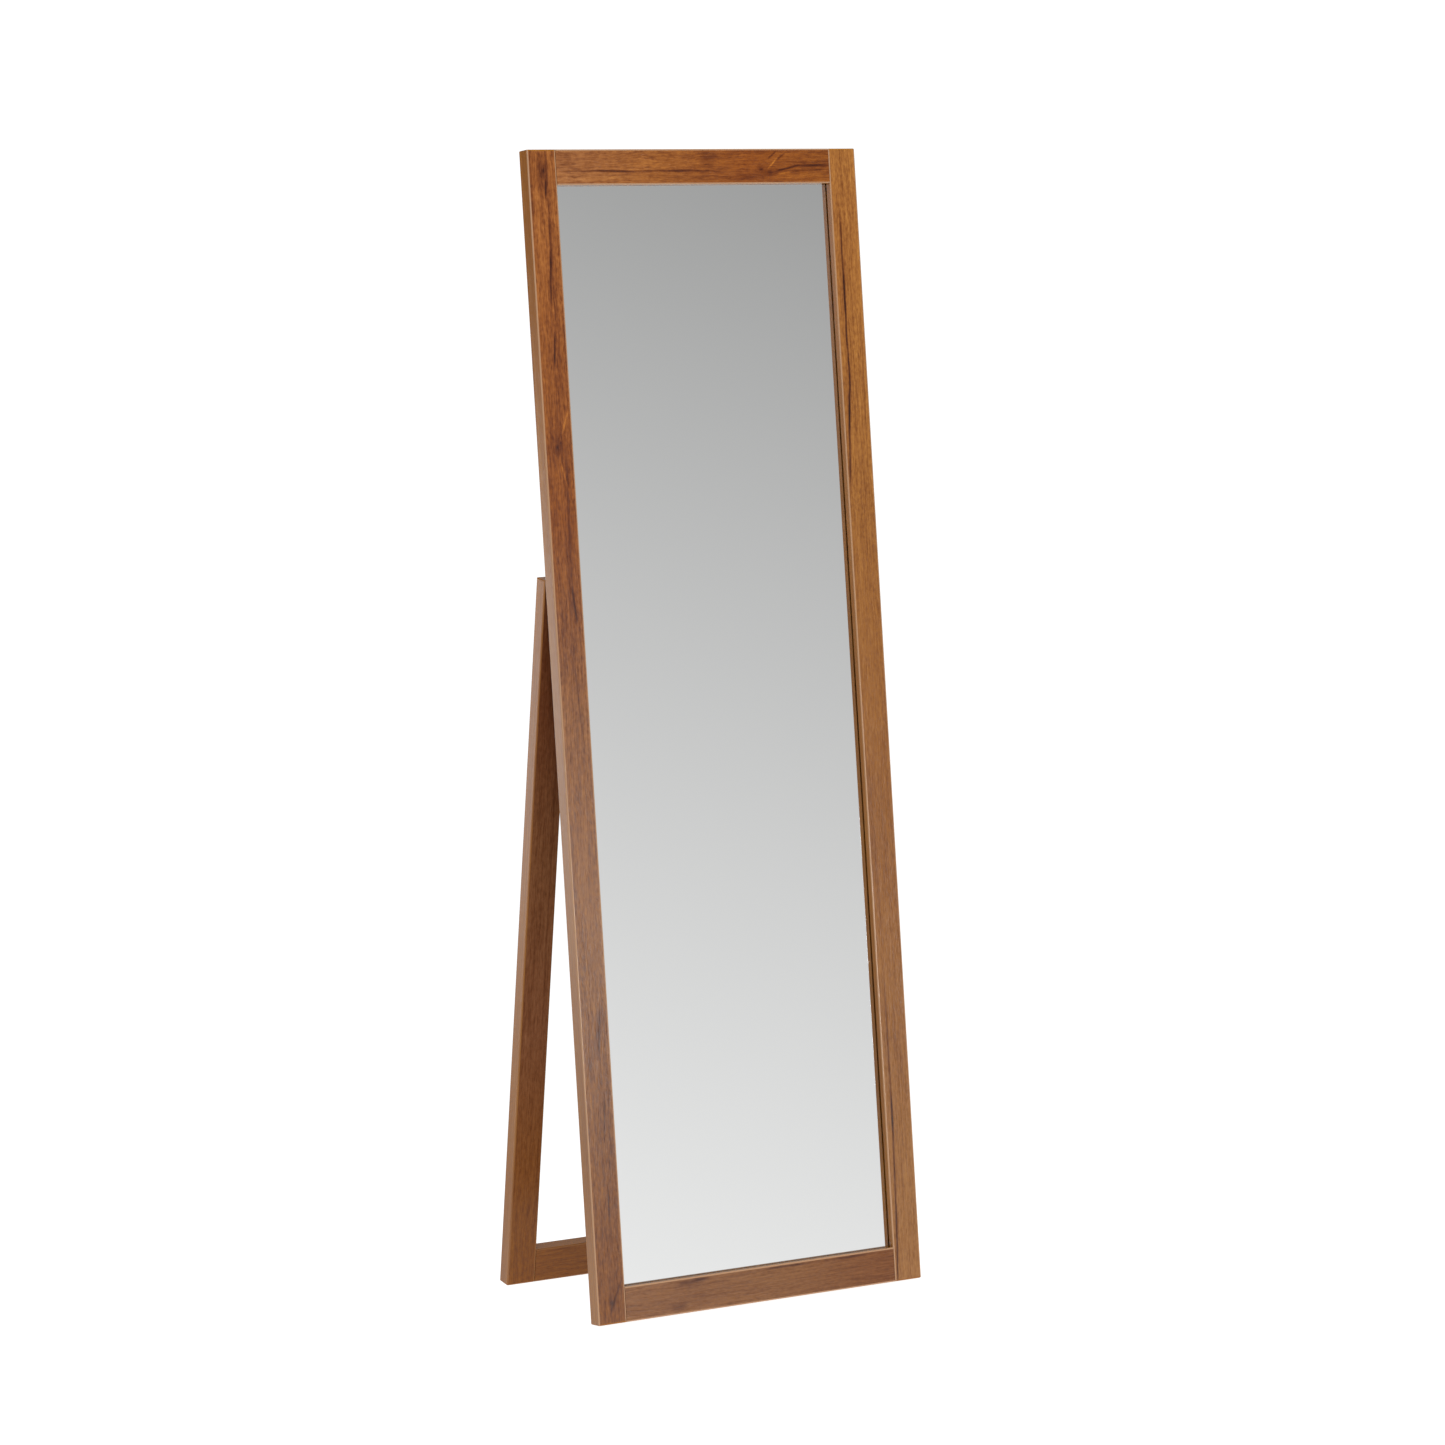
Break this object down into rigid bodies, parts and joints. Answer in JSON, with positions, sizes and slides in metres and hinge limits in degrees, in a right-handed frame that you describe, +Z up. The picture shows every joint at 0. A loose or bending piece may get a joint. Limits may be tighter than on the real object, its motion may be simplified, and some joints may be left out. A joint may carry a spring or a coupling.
{
  "type": "floor mirror",
  "caption": "Full-length leaning floor mirror: a flat wood-look board frame round a recessed mirror, propped by a hinged rear stand frame that folds flat behind it.",
  "frame": {"origin": "centre of the bounding box's bottom, on the floor between the frame's rear bottom edge and the stand's front bottom edge", "axes": "+X to the mirror's right as seen from the front and along the hinge pins, +Y to the back, towards the stand, +Z up"},
  "size_m": [0.5, 0.2768, 1.5215],
  "materials": {
    "laminated_board": "satin printed wood foil on board, reddish-brown with darker grain",
    "edge_band": "satin wood-print edge band with a paler rounded edge",
    "mirror": "clear float glass, silvered behind",
    "hardboard": "brown hardboard, screen-textured back",
    "bead_wood": "stained softwood bead",
    "dowel_beech": "plain beech",
    "hinge_steel": "nickel-plated steel",
    "zinc_steel": "zinc-plated steel"
  },
  "bodies": {
    "mirror_frame": {"left_stile": "laminated_board", "right_stile": "laminated_board", "top_rail": "laminated_board", "bottom_rail": "laminated_board", "left_stile_outer_band": "edge_band", "left_stile_inner_band": "edge_band", "left_stile_top_band": "edge_band", "left_stile_foot_band": "edge_band", "right_stile_outer_band": "edge_band", "right_stile_inner_band": "edge_band", "right_stile_top_band": "edge_band", "right_stile_foot_band": "edge_band", "top_rail_upper_band": "edge_band", "top_rail_lower_band": "edge_band", "bottom_rail_upper_band": "edge_band", "bottom_rail_lower_band": "edge_band", "mirror_glass": "mirror", "backing_panel": "hardboard", "left_bead": "bead_wood", "right_bead": "bead_wood", "top_bead": "bead_wood", "bottom_bead": "bead_wood", "bead_brads": "zinc_steel", "frame_dowels": "dowel_beech", "left_hinge_frame_leaf": "hinge_steel", "right_hinge_frame_leaf": "hinge_steel", "hinge_frame_screws": "zinc_steel"},
    "stand": {"left_leg": "laminated_board", "right_leg": "laminated_board", "stand_top_rail": "laminated_board", "stand_bottom_rail": "laminated_board", "left_leg_outer_band": "edge_band", "left_leg_inner_band": "edge_band", "left_leg_top_band": "edge_band", "left_leg_foot_band": "edge_band", "right_leg_outer_band": "edge_band", "right_leg_inner_band": "edge_band", "right_leg_top_band": "edge_band", "right_leg_foot_band": "edge_band", "stand_top_rail_upper_band": "edge_band", "stand_top_rail_lower_band": "edge_band", "stand_bottom_rail_upper_band": "edge_band", "stand_bottom_rail_lower_band": "edge_band", "stand_dowels": "dowel_beech", "left_hinge_leg_leaf": "hinge_steel", "right_hinge_leg_leaf": "hinge_steel", "left_hinge_pin": "hinge_steel", "right_hinge_pin": "hinge_steel", "hinge_leg_screws": "zinc_steel"}
  },
  "joints": [
    {"name": "stand_fold", "type": "hinge", "parent": "mirror_frame", "child": "stand", "pos_m": [0, 0.00256, 0.96944], "axis": [1, 0, 0], "range_deg": [-13.7, 0]}
  ]
}
